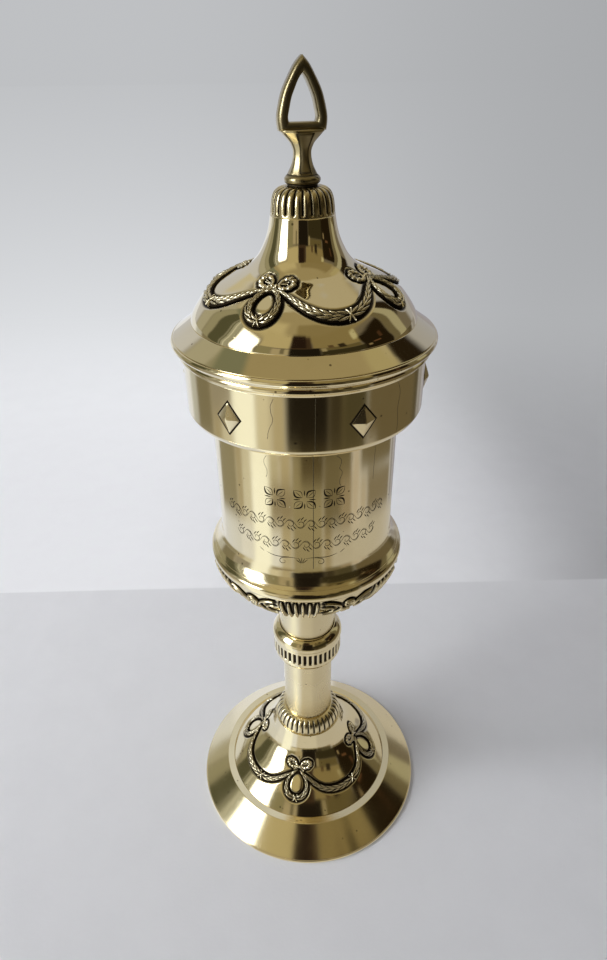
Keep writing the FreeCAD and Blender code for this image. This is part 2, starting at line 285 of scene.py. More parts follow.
def festoon(relief, knot_z, swag, wreath, loops, bind, grain):
    """One knot of a garland: bow, laurel wreath, and the swag to the next knot.

    knot_z is the knot's height. swag is (height, half-width) at each tenth of the span, from the knot to
    the middle. wreath is (lowest and highest z, half width, band at the sides). loops is (reach, rise) of
    a bow's loop. bind is where the swag's crossed tie sits. grain scales the leaves.
    """
    skin, span = relief.skin, TURN / relief.copies
    # the swag: a bed painted dark, as old polish and as shade between the leaves, with leaves on it that
    # point away from the tie
    swag = swag + swag[-2::-1]
    tenths = [i / 10 for i in range(len(swag))]
    stretch = 30    # about the span's length in mm, so that the spline's steps are even
    t, s = spline([(a * stretch, skin.along(z)) for a, (z, _) in zip(tenths, swag)], 0.5).T
    t = t / stretch
    w = np.interp(t, tenths, [half for _, half in swag])
    relief.stroke(t * span, s, w * 0.98, 0.22 + 0.06 * w, BED)
    length = np.concatenate([[0], np.cumsum(np.hypot(np.diff(t * span) * skin.radius(s[1:]), np.diff(s)))])
    middle = np.interp(bind, t, length)
    leafy_path(relief, t * span, s, w, length, middle, grain)
    q = np.interp(middle, length, t)
    here, half = np.interp(q, t, s), np.interp(q, t, w)
    crossed_tie(relief, q * span, here, 0.8 * grain / skin.radius(here), half * 1.05, 0.27, 9)
    # the wreath, thicker below, with leaves that climb both sides from a tie
    low_z, high_z, wide, band = wreath
    low_s, high_s = skin.along(low_z), skin.along(high_z)
    centre, tall = (low_s + high_s) / 2, (high_s - low_s) / 2
    k = np.linspace(0, TURN, 73)
    low = 0.5 - 0.5 * np.cos(k)
    ring_half = band * (0.30 + 0.34 * low**1.5)
    u, v = wide * np.sin(k) * (0.90 + 0.10 * low), centre + tall * np.cos(k)
    r = skin.radius(centre)
    relief.stroke(u / r, v, ring_half * 0.98, 0.24 + 0.06 * low, BED)
    ring_length = np.concatenate([[0], np.cumsum(np.hypot(np.diff(u), np.diff(v)))])
    leafy_path(relief, u / r, v, ring_half, ring_length, ring_length[-1] / 2, grain * 0.92)
    crossed_tie(relief, 0.0, centre - tall, 0.6 * grain / r, band * 0.62, 0.24, 7)
    # the bow: two ruffled loops, the folds inside each, and a double bead
    reach, rise = loops
    knot_s = skin.along(knot_z)
    rk = skin.radius(knot_s)
    for side in (-1, 1):
        k = np.linspace(0, 1, 81)
        turn = k * TURN
        swell = np.sin(k * math.pi)
        pleat = np.cos(turn * 9)
        x = side * reach * (0.20 + 0.36 * (1 - np.cos(turn)) + 0.02 * pleat * swell)
        y = knot_s + rise * (0.30 + 0.42 * np.sin(turn) + 0.10 * (1 - np.cos(turn)))
        relief.stroke(x / rk, y, 0.34 + 0.42 * swell + 0.16 * pleat * swell,
                      0.34 + 0.24 * swell + 0.22 * pleat * swell)
        for fold in (-0.5, 0.5):
            f = np.linspace(0, 1, 9)
            relief.stroke(side * reach * (0.26 + 0.40 * f) / rk,
                          knot_s + rise * (0.34 + 0.14 * f + 0.18 * fold * f), 0.12 + 0.06 * f, 0.22)
        relief.bead(side * 0.55 / rk, knot_s + 0.1 * rise, 0.62, 0.85)
    # the tails that leave the knot over the wreath's head
    for side in (-1, 1):
        k = np.linspace(0, 1, 9)
        relief.stroke(side * k * 0.40 * reach / rk, knot_s - k * (0.22 + 0.2 * k) * rise,
                      0.24 + 0.1 * k, 0.45)


# A leaf's place across the path at its stalk and at its tip, and how far it stands back, in leaf lengths.
BROAD_LEAVES = [(-0.20, -0.74, 0.0), (0.20, 0.74, 0.0), (0.0, 0.0, 0.42)]
SLIM_LEAVES = [(-0.12, -0.36, 0.0), (0.12, 0.36, 0.0)]


def leafy_path(relief, az, s, half, length, middle, grain):
    """Long overlapping leaves that follow a path over its bed, painted dark as old polish and shade, pointing
    away from its middle.
    """
    skin = relief.skin
    t = np.linspace(0, 1, 8)
    shape = np.maximum(np.sin(math.pi * t**0.8)**0.8, 0.06)
    for side in (-1, 1):
        at = middle + side * 0.3 * grain
        while 1.6 * grain < at < length[-1] - 1.6 * grain:
            size = grain * RNG.uniform(0.92, 1.08)
            broad = np.interp(at, length, half) > 0.8
            long = (3.0 if broad else 2.4) * size
            for stalk, tip, back in BROAD_LEAVES if broad else SLIM_LEAVES:
                q = np.clip(at + side * long * (back + t), 0, length[-1])
                a, b, w = (np.interp(q, length, line) for line in (az, s, half))
                ahead = [np.interp(np.clip(q + way * 0.4, 0, length[-1]), length, line)
                         for line in (az, s) for way in (-side, side)]
                run, rise = (ahead[1] - ahead[0]) * skin.radius(b), ahead[3] - ahead[2]
                out = (stalk + (tip - stalk) * t + RNG.uniform(-0.05, 0.05)) * w / np.hypot(run, rise)
                relief.stroke(a - out * rise / skin.radius(b), b + out * run,
                              (0.235 * w + 0.05 if broad else 0.30 * w + 0.04) * shape,
                              (0.50 + 0.12 * w) * (0.35 + 0.65 * np.sin(math.pi * t)), KEEL, mark=False,
                              base=(0.20 if back else 0.10) + 0.05 * w + 0.12 * t)
            at += side * (2.2 if broad else 1.9) * size


# ---- materials

class Nodes:
    """Short forms for building a node tree."""

    def __init__(self, tree):
        self.tree = tree
        tree.nodes.clear()

    def new(self, kind, inputs=(), **settings):
        node = self.tree.nodes.new("ShaderNode" + kind)
        for key, value in settings.items():
            setattr(node, key, value)
        for key, value in dict(inputs).items():
            if isinstance(value, bpy.types.NodeSocket):
                self.tree.links.new(value, node.inputs[key])
            else:
                node.inputs[key].default_value = value
        return node

    def math(self, operation, a, b=0.0, clamp=False):
        return self.new("Math", {0: a, 1: b}, operation=operation, use_clamp=clamp).outputs[0]

    def times(self, a, b):
        return self.math("MULTIPLY", a, b)

    def ramp(self, value, low, high, to_low=0.0, to_high=1.0):
        """A smooth step from to_low at low to to_high at high."""
        node = self.new("MapRange", {"Value": value, "From Min": low, "From Max": high,
                                               "To Min": to_low, "To Max": to_high},
                        interpolation_type="SMOOTHSTEP")
        return node.outputs["Result"]

    def between(self, value, low, high, edge):
        """1 between low and high, with soft steps edge to each side of them."""
        return self.times(self.ramp(value, low - edge, low + edge),
                          self.ramp(value, high - edge, high + edge, 1.0, 0.0))

    def azimuth(self, x, y):
        """Degrees from the front (-Y) towards +X."""
        return self.times(self.math("ARCTAN2", x, self.times(y, -1.0)), DEGREE)

    def mix(self, factor, a, b):
        node = self.new("Mix", {"Factor": factor}, data_type="RGBA")
        for socket, value in ((node.inputs[6], a), (node.inputs[7], b)):
            if isinstance(value, bpy.types.NodeSocket):
                self.tree.links.new(value, socket)
            else:
                socket.default_value = (*value, 1.0)
        return node.outputs[2]

    def noise(self, vector, scale, detail=2.0, roughness=0.5):
        return self.new("TexNoise", {"Vector": vector, "Scale": scale, "Detail": detail,
                                               "Roughness": roughness}).outputs["Fac"]

    def metal(self, colour, gloss, height, distance, strength):
        """The end of a metal's tree: the shader with its bump, in metres, and the output."""
        bump = self.new("Bump", {"Height": height, "Distance": distance, "Strength": strength})
        shader = self.new("BsdfPrincipled", {"Base Color": colour, "Roughness": gloss,
                                                       "Metallic": 1.0, "Normal": bump.outputs["Normal"]})
        self.new("OutputMaterial", {"Surface": shader.outputs["BSDF"]})


def new_material(name):
    material = bpy.data.materials.new(name)
    material.use_nodes = True
    return material, Nodes(material.node_tree)


BRASS = (0.90, 0.785, 0.515)
DEEP_BRASS = (0.80, 0.665, 0.375)
PATINA_AND_SHADE = (0.030, 0.021, 0.012)


def brass(name, rough, ripple, tarnish, brushed=0.0, metal=BRASS):
    """Old polished brass: slow colour drift, hairline scratches, specks, and recesses darkened by attribute,
    as old patina and as painted shade.
    """
    material, n = new_material(name)
    place = n.new("TexCoord").outputs["Object"]
    stretched = n.new("Mapping", {"Vector": place, "Scale": (1.0, 1.0, 0.12)}).outputs["Vector"]
    flat_rings = n.new("Mapping", {"Vector": place, "Scale": (0.15, 0.15, 6.0)}).outputs["Vector"]
    recess = n.new("Attribute", attribute_name="patina_and_shade").outputs["Fac"]
    drift = n.ramp(n.noise(place, 55.0, 3.0), 0.35, 0.72)
    cloud = n.ramp(n.noise(place, 140.0, 4.0, 0.6), 0.52, 0.80)
    cells = n.new("TexVoronoi", {"Vector": place, "Scale": 420.0, "Randomness": 1.0})
    speck = n.times(n.ramp(cells.outputs["Distance"], 0.10, 0.17, 1.0, 0.0),
                    n.ramp(n.noise(place, 260.0, 1.0), 0.60, 0.66))
    scratch_noise = n.noise(stretched, 900.0, 2.0)
    ring_noise = n.noise(flat_rings, 700.0, 2.0)
    scratch = n.ramp(scratch_noise, 0.64, 0.78)
    colour = n.mix(n.times(drift, tarnish), metal, DEEP_BRASS)
    colour = n.mix(n.times(cloud, 0.35 * tarnish), colour, (0.56, 0.44, 0.24))
    colour = n.mix(n.times(speck, 0.75), colour, (0.10, 0.07, 0.035))
    # recesses go to near black: old patina, and painted shade
    colour = n.mix(recess, colour, PATINA_AND_SHADE)
    gloss = n.math("ADD", rough, n.times(drift, 0.35 * rough))
    gloss = n.math("ADD", gloss, n.times(scratch, 0.05 + 0.3 * brushed))
    gloss = n.math("ADD", gloss, n.times(recess, 0.42), clamp=True)
    wave = n.noise(place, 95.0, 2.0)
    fine = n.math("ADD", n.times(scratch_noise, 0.010 + 0.05 * brushed), n.times(ring_noise, 0.012))
    height = n.math("ADD", n.times(wave, ripple), fine)
    n.metal(colour, gloss, height, 0.00012, 1.0)
    return material


def steel(name):
    """Plain machined steel for the hidden fastenings."""
    material, n = new_material(name)
    place = n.new("TexCoord").outputs["Object"]
    rust = n.ramp(n.noise(place, 320.0, 4.0, 0.65), 0.55, 0.75)
    turning = n.new("TexWave", {"Vector": place, "Scale": 700.0, "Distortion": 0.6},
                    bands_direction="Z").outputs["Fac"]
    colour = n.mix(rust, (0.47, 0.46, 0.44), (0.19, 0.11, 0.06))
    gloss = n.ramp(rust, 0.0, 1.0, 0.28, 0.62)
    n.metal(colour, gloss, turning, 0.00004, 0.6)
    return material


MIRROR = brass("brass_mirror", rough=0.045, ripple=0.22, tarnish=0.20)
POLISHED = brass("brass_polished", rough=0.085, ripple=0.26, tarnish=0.20)
SATIN = brass("brass_satin", rough=0.105, ripple=0.06, brushed=0.25, tarnish=0.25)
SPUN = brass("brass_spun", rough=0.125, ripple=0.16, brushed=0.1, tarnish=0.20)
TUBE = brass("brass_tube", rough=0.23, ripple=0.04, brushed=0.15, tarnish=0.12)
CAST = brass("brass_cast", rough=0.19, ripple=0.30, tarnish=0.30)
RAISED = brass("brass_raised", rough=0.20, ripple=0.25, tarnish=0.12, metal=(0.93, 0.84, 0.62))
WORN = brass("brass_worn", rough=0.17, ripple=0.35, tarnish=0.6, metal=(0.68, 0.575, 0.345))
AGED = brass("brass_aged", rough=0.25, ripple=0.35, tarnish=0.7, metal=(0.35, 0.29, 0.165))
INSIDE = brass("brass_inside", rough=0.24, ripple=0.20, tarnish=0.8, metal=DEEP_BRASS)
STEEL = steel("steel_plain")


# ---- foot

spun("foot_rim", [(43.4, 0), (44.7, 0), (45, .3), (45, 1.1), (44.8, 1.3), (43.4, 1.3)], MIRROR,
     node="foot_rim_wire", cols=360, radius=0.3)
spun("foot_slope", [(43.63, 1.3), (44.9, 1.3), (34.85, 9.45), (30.9, 9.45), (30.9, 8.65), (34.56, 8.65)],
     SPUN, node="foot_skirt", cols=360, radius=0.35)

foot_curve = spline([(32.2, 9.45), (29.9, 11.95), (27.5, 14.45), (25.1, 16.65), (22.7, 18.65), (20.5, 20.5),
                     (18.7, 22.3), (17.3, 23.95), (16.2, 25.5), (15.3, 27.1), (14.6, 28.6), (14.0, 30.6),
                     (13.5, 32.7), (13.2, 34.2)], 0.35)
foot_top = [(13.12, 34.29), (12.95, 34.3), (2.8, 34.3)]
foot_relief = Relief(Skin(np.vstack([foot_curve, foot_top])), 4, math.radians(-12.0))
festoon(foot_relief, 22.0, wreath=(14.4, 20.9, 4.2, 2.05), loops=(4.9, 3.0), bind=0.60, grain=1.25,
        swag=[(21.4, 0.40), (19.9, 0.58), (18.0, 0.95), (16.5, 1.25), (15.8, 1.4), (15.6, 1.45)])


def carved_shell(name, relief, low_z, high_z, inner, node, body, cols, material):
    """A turned shell with its ground sunk round the relief and darkened there, as old polish and as painted
    shade, fine rows only where it is.
    """
    skin, coarse, fine, least = relief.skin, 1.3, 0.26, 0.02
    low, high = skin.along(low_z), skin.along(high_z)
    s = np.concatenate([np.arange(0, low, coarse), np.arange(low, high, fine),
                        np.arange(high, skin.s[-1], coarse), [skin.s[-1]]])
    s = np.unique(np.concatenate([s, skin.s[(skin.s < low) | (skin.s > high)]]))
    s = s[np.concatenate([[True], np.diff(s) > least])]
    az = round_azimuths(cols)
    lift, dark = sink(relief.ground_at(az, s))
    inner = np.array(inner, float)
    pts = np.concatenate([skin.at(az[None, :], s[:, None], lift), turned(inner[:, :1], inner[:, 1:], az)])
    shade = np.concatenate([dark, np.zeros((len(inner), cols))])
    return make(name, pts, [quads(len(pts), cols)], material, body, [node], shade)


foot_inner = np.vstack([[(2.8, 33.5)], [(12.3, 33.5)], inset(foot_curve)[1:]])
carved_shell("foot_dome_shell", foot_relief, 12.4, 26.0, foot_inner, "foot_dome", "cup", 640, POLISHED)
foot_relief.finish("foot_festoons", RAISED, "cup")


def gadroon(name, outline, count, depth, material, body, node, lobe_rows):
    """A ring of rounded lobes with grooves between, painted dark as old polish and shade. lobe_rows gives
    their share at each (r, z).
    """
    p = soften(outline, 0.3)
    per, power = 14, 2.4
    az = round_azimuths(count * per)
    n = np.roll(p, -1, 0) - np.roll(p, 1, 0)
    n = np.c_[n[:, 1], -n[:, 0]]
    n /= np.linalg.norm(n, axis=1)[:, None]
    share = np.array([lobe_rows(r, z) for r, z in p])
    phase = (az[None, :] * count / TURN) % 1.0 * 2 - 1
    cut = 1 - np.sqrt(np.maximum(1 - np.abs(phase)**power, 0))
    lift = -depth * cut * share[:, None]
    dark = np.clip((np.abs(phase) - 0.56) / 0.26, 0, 1) * np.clip(share * 1.6, 0, 1)[:, None]
    pts = turned(p[:, :1] + lift * n[:, :1], p[:, 1:] + lift * n[:, 1:], az)
    return make(name, pts, [quads(len(p), len(az))], material, body, [node], dark)


def band_between(low, high, edge):
    """1 between low and high, falling to 0 over edge beyond them."""
    return lambda value: float(np.clip(min(value - low, high - value) / edge + 1, 0, 1))


collar_share = band_between(34.9, 39.4, 0.35)
gadroon("foot_collar_gadroon", [(9.3, 34.3), *bend([
    (12.75, 34.35), (12.72, 35.6), (12.3, 37.2), (11.5, 38.7), (10.6, 39.5), (9.5, 39.95)]), (9.3, 39.9)],
        34, 0.55, CAST, "cup", "foot_collar", lambda r, z: collar_share(z) if r > 9.35 else 0.0)

# ---- stem

spun("stem_tube_low", [(8.5, 34.3), (9.3, 34.3), (9.3, 80.3), (8.5, 80.3)], TUBE,
     node="stem_tube_lower", cols=192)
spun("stem_tube_top", [(9.3, 80.3), (10.1, 80.3), (10.1, 104.6), (9.3, 104.6)], TUBE,
     node="stem_tube_upper", cols=192)
# the inner corner where the moulding meets the upper tube is painted dark as shade
spun("knop_moulding", [(10.1, 80.3), (12.85, 80.3), *bend([
    (12.95, 80.9), (12.9, 81.7), (12.55, 82.8), (11.95, 83.8), (11.2, 84.6), (10.5, 85.05)]), (10.1, 85.1)],
     POLISHED, node="knop_cap", cols=224, patina_and_shade=lambda r, z: np.where((r < 10.35) & (z > 84.5), 1.0, 0.0))


def slotted_band():
    """The knop's band, with its ring of narrow upright slots."""
    count, per, slot_depth = 40, 12, 0.55
    outer = np.vstack([soften([(9.3, 71.0), (11.4, 71.0), (12.1, 71.6), (12.5, 72.5), (12.65, 73.5),
                               (12.65, 73.75)], 0.4, closed=False),
                       np.c_[np.full(25, 12.65), np.linspace(73.9, 80.0, 25)],
                       [(12.62, 80.2), (12.5, 80.3)]])
    p = np.vstack([outer, [(9.3, 80.3)]])
    az = round_azimuths(count * per)
    phase = np.abs((az * count / TURN) % 1.0 - 0.5) * 2
    slot_side = np.clip((0.60 - phase) / 0.14, 0, 1)
    slot_rows = np.clip(np.minimum(p[:, 1] - 74.2, 78.9 - p[:, 1]) / 0.3, 0, 1)
    cut = slot_rows[:, None] * slot_side[None, :]
    pts = turned(p[:, :1] - slot_depth * cut, p[:, 1:], az)
    # the insides of the slots are painted dark as shade, by patina_and_shade
    make("knop_slotted_band", pts, [quads(len(p), len(az))], MIRROR, "cup", ["knop_band"],
         np.clip(cut * 1.5, 0, 1))


slotted_band()

# ---- bowl

bowl_curve = spline([(11.5, 104.6), (14.5, 105.1), (17.5, 106.2), (20.4, 107.8), (23.2, 109.9), (25.6, 112.1),
                     (27.6, 114.3), (29.2, 116.6), (30.4, 119.2), (31.0, 121.3), (31.15, 122.6)], 0.35)
bowl_relief = Relief(Skin(np.vstack([[(2.8, 104.6)], [(11.2, 104.6)], bowl_curve])), 6, math.radians(-4.8))


def fluted_group(relief):
    """Six upright ribs with deep flutes between, a round-headed scroll each side, and a curled S."""
    mean_radius = 29.6
    pitch = 2.15 / mean_radius
    low, high, curl_low, curl_high, s_low, s_high = map(
        relief.skin.along, (111.6, 122.0, 113.6, 121.2, 113.4, 121.0))
    for k in range(6):
        az = (k - 2.5) * pitch
        t = np.linspace(0, 1, 15)
        s = low + (high - low) * t
        swell = np.minimum(1, np.sqrt(np.maximum(1 - (2 * t - 1)**8, 0.02)))
        relief.stroke(np.full(15, az) * (0.90 + 0.1 * t), s, 0.54 * swell * (0.84 + 0.16 * t), 1.05 * swell)
    for side in (-1, 1):
        start, end = math.radians(side * 14.8), math.radians(side * 25.6)
        mid_s, half = (curl_low + curl_high) / 2, (curl_high - curl_low) / 2
        arc = np.linspace(-math.pi / 2, math.pi / 2, 23)
        for share, width, height in ((1.0, 0.42, 0.75), (0.52, 0.30, 0.6)):
            u = start + (end - start) * share * np.cos(arc)
            relief.stroke(u, mid_s + half * share * np.sin(arc), width, height)
    # an S of two curls, standing midway to the next group
    centre = math.radians(30.0)
    mid_s, half = (s_low + s_high) / 2, (s_high - s_low) / 2
    for way in (-1, 1):
        t = np.linspace(0, 1, 33)
        turn = t * 1.55 * TURN
        radius = 1.95 - 1.35 * t
        u = way * (radius * np.sin(turn))
        v = mid_s + way * (half * 0.5 - radius * np.cos(turn) + 0.2)
        relief.stroke(centre + u / mean_radius, v, 0.46 - 0.16 * t, 0.8 - 0.1 * t)
        relief.bead(centre, mid_s + way * (half * 0.5 + 0.2), 0.5, 0.8)


fluted_group(bowl_relief)
bowl_inner = np.vstack([inset(bowl_curve), [(2.8, 105.4)]])
carved_shell("bowl_underside", bowl_relief, 110.4, 122.5, bowl_inner, "bowl_base", "cup", 720, MIRROR)
bowl_relief.finish("bowl_scrollwork", CAST, "cup")

spun("bowl_ring_moulding", [(29.9, 122.6), *bend([
    (31.4, 122.6), (31.9, 123.2), (32.1, 124.1), (32.0, 125.0), (31.6, 125.8), (31.0, 126.3),
    (30.8, 126.5)], 0.25), (29.9, 126.5)], POLISHED, node="bowl_ring")

body_foot = bend([(30.8, 126.5), (30.0, 127.3), (29.3, 128.4), (28.6, 129.9), (28.15, 131.6),
                  (28, 133.5)], 0.35)
spun("cup_wall", [(30.0, 126.5), *body_foot, (28, 140), (28, 174.4), (27.2, 174.4), (27.2, 133.5),
                  *[(r - SHEET, z) for r, z in body_foot[-2:0:-1]]], SATIN, node="cup_body")

# ---- mouth

spun("collar_shoulder", [
    (28, 173.3), *bend([(29.6, 173.5), (31.4, 174.1), (33, 175), (34.1, 176.1), (34.7, 177.3)]),
    *bend([(33.9, 177.3), (33.2, 176.4), (32.2, 175.6), (30.9, 174.9), (29.4, 174.4)], 0.5), (28, 174.4)],
    MIRROR, node="band_shoulder")
spun("collar_band", [(33.9, 177.3), (34.7, 177.3), (34.7, 192.6), (33.9, 192.6)], SATIN, node="mouth_band",
     radius=0.1)
spun("lip_bead", [(33.9, 192.6), (34.9, 192.6), (35.1, 193.2), (35.6, 193.5), (36, 194), (36, 194.7),
                  (35.7, 195.2), (33.9, 195.2)], MIRROR, node="lip_ring", radius=0.35)

BAND_RADIUS, BAND_LOW = 34.7, 177.4
band_skin = Skin([(BAND_RADIUS, BAND_LOW), (BAND_RADIUS, 192.5)])


def studs():
    """Six diamond-cut studs, each a four-sided pyramid with a worn point on a thin setting, painted dark as
    the shade round its foot.
    """
    points, quad, tri, shade = [], [], [], []
    half_w, half_h, proud, steps = 3.45, 4.3, 1.5, 12
    ring, middle_s = 4 * steps, 184.3 - BAND_LOW
    # each level's share of the full size, its lift and its patina_and_shade: the setting and foot are painted
    # shade
    levels = [(1.17, -0.25, 1.0), (1.17, 0.05, 1.0), (1.05, 0.10, 1.0), (1.0, 0.14, 0.75), (0.965, 0.20, 0.0),
              (0.72, 0.53, 0.0), (0.45, 0.90, 0.0), (0.20, 1.24, 0.0), (0.07, 1.40, 0.0)]
    face_level = 4
    corners = [(1, 0), (0, 1), (-1, 0), (0, -1)]
    for k in range(6):
        middle, start = math.radians(-34.8 + 60 * k), len(points)
        for scale, lift, dark in levels:
            for j in range(ring):
                side, t = divmod(j, steps)
                t /= steps
                (x0, y0), (x1, y1) = corners[side], corners[(side + 1) % 4]
                x, y = x0 + (x1 - x0) * t, y0 + (y1 - y0) * t
                points.append(band_skin.at(middle + x * half_w * scale / BAND_RADIUS,
                                           middle_s + y * half_h * scale, lift * proud / 1.4))
                shade.append(dark)
        points.append(band_skin.at(middle, middle_s, proud))
        shade.append(0.0)
        after = [(j + 1) % ring for j in range(ring)]
        for low in range(start, start + (len(levels) - 1) * ring, ring):
            quad += [(low + j, low + after[j], low + after[j] + ring, low + j + ring) for j in range(ring)]
        top = start + (len(levels) - 1) * ring
        tri += [(top + j, top + after[j], len(points) - 1) for j in range(ring)]
        floor = [(start + after[j], start + j, start + ring // 2) for j in range(ring)]
        tri += [f for f in floor if len(set(f)) == 3]
    piece = make("collar_studs", points, [quad, tri], CAST, "cup", ["band_studs"], shade)
    # the four ridges of each pyramid are sharp
    per = ring * len(levels) + 1
    sharp = []
    for edge in piece.data.edges:
        a, b = (v % per for v in edge.vertices)
        sharp.append(a // ring >= face_level and a % ring % steps == 0
                     and (b == per - 1 or a % ring == b % ring))
    piece.data.edges.foreach_set("use_edge_sharp", sharp)


studs()

# ---- engraved front

WALL_RADIUS, WALL_LOW = 28, 128.0
body_skin = Skin([(WALL_RADIUS, WALL_LOW), (WALL_RADIUS, 174.0)])
engraving = Relief(body_skin)
CUT = 0.030     # a cut line is built as a thin strip painted dark, for the shade and old polish in a cut, this proud in mm
DEGREES_PER_MM = 360 / (TURN * WALL_RADIUS)


def engrave(points, width, taper=True):
    """A cut line through (azimuth in degrees, height) points, with its half-width swelling in the middle."""
    path = spline([(a / DEGREES_PER_MM, z) for a, z in points], 0.25)
    swell = (0.25 + 0.75 * np.sin(math.pi * np.linspace(0, 1, len(path)))) if taper else 1.0
    engraving.stroke(np.radians(path[:, 0] * DEGREES_PER_MM), path[:, 1] - WALL_LOW, width * swell, CUT, FLAT,
                     mark=False)


def polar(a, z, radius, turn):
    return a + DEGREES_PER_MM * radius * math.cos(turn), z + radius * math.sin(turn)


def fleuron(a, z, size):
    """Four outlined petals with a shaded side each, round a small lozenge."""
    for i in range(4):
        turn = math.pi / 4 + i * math.pi / 2
        tip = polar(a, z, size, turn)
        for side, width in ((-0.42, 0.09), (0.42, 0.26)):
            engrave([polar(a, z, 0.22 * size, turn), polar(a, z, 0.62 * size, turn + side), tip], width)
        engrave([polar(a, z, 0.34 * size, turn), polar(a, z, 0.82 * size, turn)], 0.08)
    for i in range(4):
        engrave([polar(a, z, 0.30 * size, i * math.pi / 2), polar(a, z, 0.72 * size, i * math.pi / 2)], 0.17)


def rinceau(a0, a1, z, size, count):
    """A running scroll: a thin wavy stalk, a spiral tendril in each bend, and slanting leaves."""
    step = (a1 - a0) / count
    for i in range(count):
        up = 1 if i % 2 == 0 else -1
        x = a0 + (i + 0.5) * step
        engrave([(x - step / 2, z), (x - step / 4, z - up * 0.62 * size), (x, z - up * 0.86 * size),
                 (x + step / 4, z - up * 0.62 * size), (x + step / 2, z)], 0.055, taper=False)
        k = np.linspace(0, 1, 16)
        curl = [polar(x, z + up * 0.05 * size, size * (0.80 - 0.62 * t), up * (-2.5 + 6.6 * t)) for t in k]
        engrave(curl, 0.10)
        for lean, rise, long in ((-0.9, 0.55, 0.75), (0.15, 0.92, 0.70), (0.95, 0.50, 0.62)):
            foot_a, foot_z = x + DEGREES_PER_MM * lean * size * 0.55, z + up * rise * size * 0.8
            engrave([(foot_a, foot_z),
                     (foot_a + DEGREES_PER_MM * 0.16 * size, foot_z + up * 0.45 * long * size),
                     (foot_a + DEGREES_PER_MM * 0.50 * size, foot_z + up * long * size)], 0.15)


def flourish(a, z):
    """Two volutes with long tails either side of a palmette, and a row of dots falling from it."""
    for way in (-1, 1):
        curl = [(a + way * x, z + y) for x, y in (
            (2.5, .1), (6, .35), (10, .15), (13.2, -.6), (13.4, -1.8), (11.4, -2.1), (10.2, -1.4),
            (11.2, -.8))]
        engrave(curl, 0.10)
        engrave([(a + way * 8, z + 0.6), (a + way * 16, z + 0.25), (a + way * 22, z + 0.9)], 0.11)
        engrave([(a + way * 24.0, z + 1.0), (a + way * 27.0, z + 2.0)], 0.08)
    for i in range(5):
        turn = math.radians(90 + (i - 2) * 24)
        engrave([polar(a, z - 1.9, radius, turn) for radius in (0.3, 1.3, 2.4)], 0.11)
    for i in range(4):
        engraving.bead(math.radians(a), z - 2.7 - 0.85 * i - WALL_LOW, 0.15 - 0.02 * i, CUT)


for middle in (-18.5, -1.0, 16.5):
    fleuron(middle, 158.2, 4.3)
for middle in (-9.7, 7.7):
    engraving.bead(math.radians(middle), 155.6 - WALL_LOW, 0.28, CUT)
rinceau(-56, 55, 149.7, 1.75, 18)
rinceau(-48, 47, 142.2, 1.75, 15)
flourish(-3.2, 137.0)
engraving.finish("front_engraving", CAST, "cup")

SCRATCH = [(-1, -1.0, 0.8), (-1, 1.0, 0.8), (0, 1.2, 0.9), (1, 1.0, 0.8), (1, -1.0, 0.8)]


def hairlines(name, skin, runs):
    """Fine old scratches and lifted edges of lacquer: runs of (azimuth in degrees, height), half-width."""
    relief, (radius, low) = Relief(skin), skin.p[0]
    for points, width in runs:
        path = spline([(a * radius * TURN / 360, z) for a, z in points], 0.8)
        path[1:-1, 0] += RNG.normal(0, 0.05, len(path) - 2) * (len(points) > 2)
        relief.stroke(path[:, 0] / radius, path[:, 1] - low, width, 0.012, SCRATCH, mark=False)
    relief.finish(name, CAST, "cup")


hairlines("collar_hairlines", band_skin, [
    ([(3.9, 177.8), (4.1, 192.3)], 0.085),
    ([(-13.2, 192), (-14.6, 189), (-13.8, 186), (-15.5, 183.5), (-16.4, 180.6)], 0.06),
    ([(43.5, 192.2), (45.2, 189), (44.2, 185), (45.0, 180), (44.6, 178)], 0.06)])
hairlines("cup_hairlines", body_skin, [
    ([(3.9, 129.2), (4.1, 173.0)], 0.10),
    ([(17.5, 171.5), (20.5, 169.5), (19.2, 167.5), (21.0, 166), (19.4, 163.5), (20.2, 161.6)], 0.07),
    ([(44.5, 173), (44.0, 168), (43.6, 160)], 0.055),
    ([(-22.5, 171.5), (-24.5, 169.5), (-22.6, 167), (-23.4, 164.5)], 0.05)])

# ---- lid

spun("lid_rim_moulding", [(34.2, 195.4), (36.2, 195.4), (36.5, 195.9), (37.1, 196.2), (37.5, 196.8),
                          (37.5, 197.4), (37.1, 198), (34.2, 198)],
     MIRROR, "lid", node="lid_rim", cols=360, radius=0.35)
spun("lid_slope", [(35.7, 198), (37, 198), (31.5, 201.9), (29.9, 201.9), (29.9, 201.1), (31.2, 201.1)],
     MIRROR, "lid", node="lid_flange", cols=360)

lid_curve = spline([(31.5, 201.9), (31.1, 203.2), (30.3, 204.7), (29.0, 206.6), (27.3, 208.7),
                    (25.0, 210.6), (22.1, 212.2), (19.1, 213.6), (16.9, 214.65), (15.5, 215.35),
                    (14.3, 216.2), (12.3, 218.2), (10.9, 220.5), (9.7, 223.2), (8.95, 226),
                    (8.5, 228.7)], 0.35)
lid_relief = Relief(Skin(lid_curve), 4, math.radians(-24.5))
festoon(lid_relief, 214.1, wreath=(208.5, 213.6, 3.75, 2.35), loops=(5.3, 4.2), bind=0.55, grain=1.1,
        swag=[(213.8, 0.42), (213.3, 0.55), (212.3, 1.0), (210.9, 1.4), (209.8, 1.6), (209.4, 1.68)])
carved_shell("lid_dome_shell", lid_relief, 206.2, 217.2, inset(lid_curve), "lid_dome", "lid", 600, MIRROR)
lid_relief.finish("lid_festoons", RAISED, "lid")

